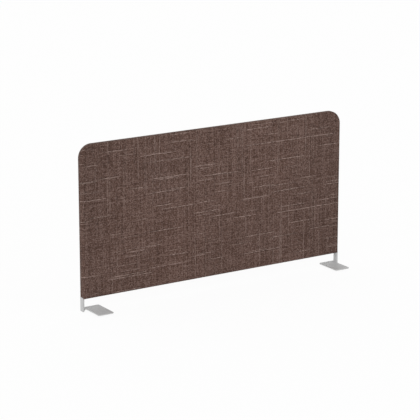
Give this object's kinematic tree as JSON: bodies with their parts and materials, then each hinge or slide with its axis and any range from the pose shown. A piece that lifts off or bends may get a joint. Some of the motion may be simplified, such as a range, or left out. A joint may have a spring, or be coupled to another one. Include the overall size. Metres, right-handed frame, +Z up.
{
  "type": "desk screen",
  "caption": "Rectangular cloth-covered desk screen with rounded upper corners, carried at each end by a flat steel leg with a foot plate that goes under the desk top.",
  "frame": {"origin": "under the middle of the whole footprint, level with the lower ends of the two legs", "axes": "+X along the screen, +Z up, -Y towards the side that the foot plates reach to"},
  "size_m": [0.9, 0.093, 0.487],
  "materials": {
    "cover_cloth": "woven melange upholstery cloth in grey brown",
    "foam": "thin white padding",
    "board": "raw chipboard",
    "hem_tape": "dark woven tape",
    "bracket_steel": "light grey powder coat",
    "screw_steel": "zinc plated",
    "staple_steel": "galvanised wire"
  },
  "bodies": {
    "root": {"core_board": "board", "front_foam": "foam", "rear_foam": "foam", "front_cover": "cover_cloth", "rear_cover": "cover_cloth", "hem_tape": "hem_tape", "hem_staples": "staple_steel", "left_leg": "bracket_steel", "right_leg": "bracket_steel", "left_foot_plate": "bracket_steel", "right_foot_plate": "bracket_steel", "left_foot_weld": "bracket_steel", "right_foot_weld": "bracket_steel", "left_leg_screws": "screw_steel", "right_leg_screws": "screw_steel"}
  },
  "joints": []
}
